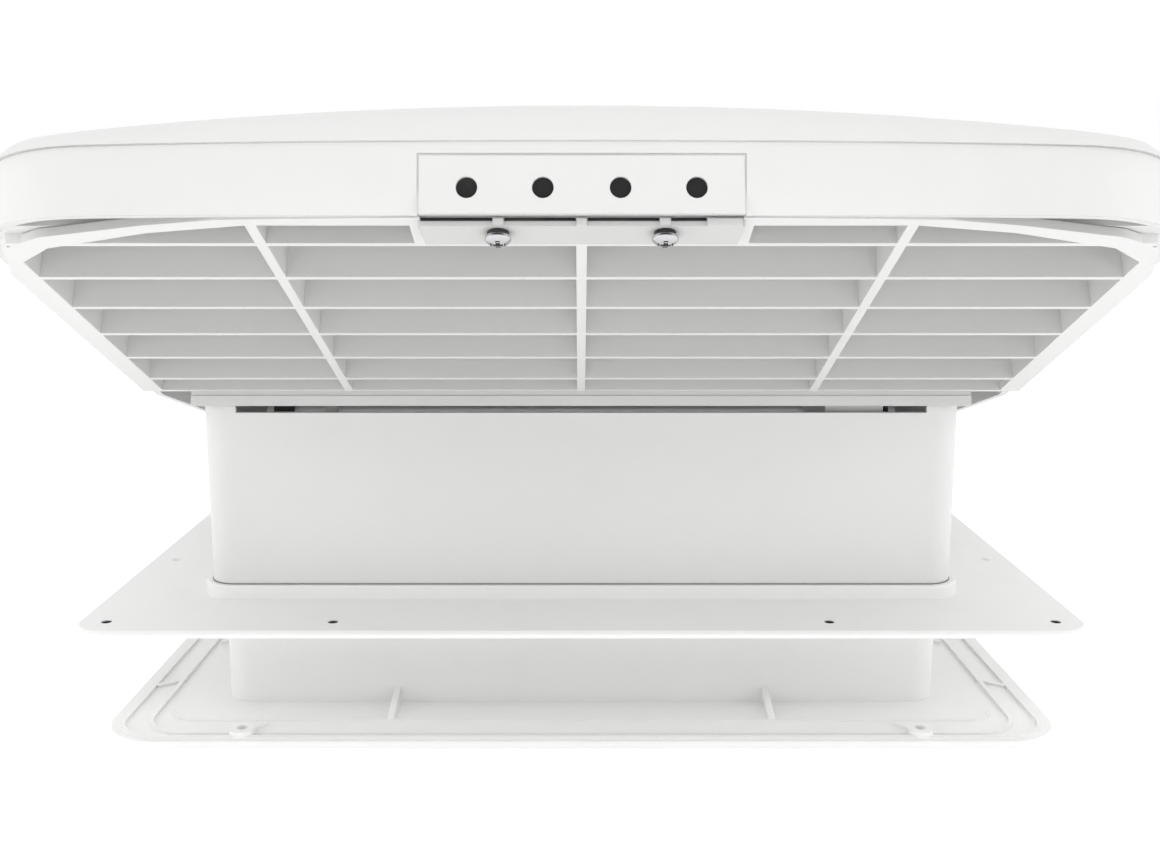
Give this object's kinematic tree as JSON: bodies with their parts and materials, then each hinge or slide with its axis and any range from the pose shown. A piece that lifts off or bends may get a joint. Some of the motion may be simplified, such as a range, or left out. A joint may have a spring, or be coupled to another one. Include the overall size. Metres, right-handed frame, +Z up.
{
  "type": "caravan roof vent",
  "caption": "Square roof vent for a caravan or camper, with a powered fan in its throat and a domed rain lid that tilts on a rear hinge and breathes through a louvred front.",
  "frame": {"origin": "centre of the roof flange's screw pattern, on the flange's underside (the roof skin)", "axes": "+Z up, +Y towards the lid's hinge, -Y the side where the lid opens and the louvres face out, +X right seen from the open side"},
  "size_m": [0.419, 0.5863, 0.2545],
  "materials": {
    "lid_white": "satin gloss",
    "base_white": "satin gloss",
    "trim_white": "gloss",
    "inner_white": "matt",
    "fan_white": "satin",
    "steel": "zinc plated",
    "chrome": "polished",
    "motor_metal": "plated",
    "black_plastic": "matt",
    "black_rubber": "matt",
    "board_green": "solder mask",
    "mesh_grey": "coated net"
  },
  "bodies": {
    "housing": {"roof_flange": "base_white", "base_box": "base_white", "fan_shroud": "inner_white", "shroud_screws": "steel", "motor_bracket": "steel", "bracket_screws": "steel", "motor": "motor_metal", "motor_terminal": "black_plastic", "hinge_bracket_left": "base_white", "hinge_bracket_right": "base_white", "hinge_pins": "steel", "hinge_screws": "steel", "gearbox": "inner_white", "shaft_bearing": "inner_white", "ceiling_trim": "trim_white", "control_console": "trim_white", "control_board": "board_green", "speed_switch": "black_plastic", "rocker_frame": "black_plastic", "fuse_holder": "black_plastic", "screen_frame": "trim_white", "insect_screen": "mesh_grey"},
    "lid": {"lid_cover": "lid_white", "rain_shield": "lid_white", "access_plate": "lid_white", "plate_plugs": "black_rubber", "louvre_panel": "lid_white", "screw_strip": "lid_white", "strip_screws": "chrome", "lid_hinge_left": "lid_white", "lid_hinge_right": "lid_white", "lift_track_left": "inner_white", "lift_track_right": "inner_white"},
    "fan": {"fan_rotor": "fan_white", "fan_shaft": "steel", "fan_clip": "steel"},
    "lift": {"cross_shaft": "steel", "lift_arm_left": "black_plastic", "lift_arm_right": "black_plastic", "arm_glides": "inner_white", "sector_gear": "inner_white"},
    "crank": {"crank_shaft": "steel", "crank_knob": "trim_white"},
    "dial": {"speed_dial": "trim_white"},
    "rocker": {"rocker_key": "black_plastic"},
    "turn_knob_1": {"screen_knob_1": "trim_white"},
    "turn_knob_2": {"screen_knob_2": "trim_white"},
    "turn_knob_3": {"screen_knob_3": "trim_white"},
    "turn_knob_4": {"screen_knob_4": "trim_white"}
  },
  "joints": [
    {"name": "lid_tilt", "type": "hinge", "parent": "housing", "child": "lid", "pos_m": [0, 0.2, 0.033], "axis": [1, 0, 0], "range_deg": [0, 12]},
    {"name": "arm_swing", "type": "hinge", "parent": "housing", "child": "lift", "pos_m": [0, -0.104, 0.075], "axis": [1, 0, 0], "range_deg": [-20, 0]},
    {"name": "crank_turn", "type": "hinge", "parent": "housing", "child": "crank", "pos_m": [0.118, -0.14, -0.0435], "axis": [0, 0, 1], "range_deg": [-960, 0]},
    {"name": "fan_spin", "type": "hinge", "parent": "housing", "child": "fan", "pos_m": [0, 0, 0.038], "axis": [0, 0, 1], "continuous": true},
    {"name": "dial_turn", "type": "hinge", "parent": "housing", "child": "dial", "pos_m": [0, -0.14055, -0.042], "axis": [0, 0, 1], "range_deg": [0, 270]},
    {"name": "rocker_tilt", "type": "hinge", "parent": "housing", "child": "rocker", "pos_m": [0.058, -0.14055, -0.0373], "axis": [0, 1, 0], "range_deg": [-8, 8]},
    {"name": "turn_knob_1_turn", "type": "hinge", "parent": "housing", "child": "turn_knob_1", "pos_m": [-0.14775, -0.08405, -0.0345], "axis": [0, 0, 1], "range_deg": [0, 90]},
    {"name": "turn_knob_2_turn", "type": "hinge", "parent": "housing", "child": "turn_knob_2", "pos_m": [-0.14775, 0.11725, -0.0345], "axis": [0, 0, 1], "range_deg": [0, 90]},
    {"name": "turn_knob_3_turn", "type": "hinge", "parent": "housing", "child": "turn_knob_3", "pos_m": [0.14775, -0.08405, -0.0345], "axis": [0, 0, 1], "range_deg": [0, 90]},
    {"name": "turn_knob_4_turn", "type": "hinge", "parent": "housing", "child": "turn_knob_4", "pos_m": [0.14775, 0.11725, -0.0345], "axis": [0, 0, 1], "range_deg": [0, 90]}
  ],
  "couplings": [
    {"joint": "arm_swing", "follows": "lid_tilt", "ratio": -1.6667},
    {"joint": "crank_turn", "follows": "lid_tilt", "ratio": -80}
  ]
}
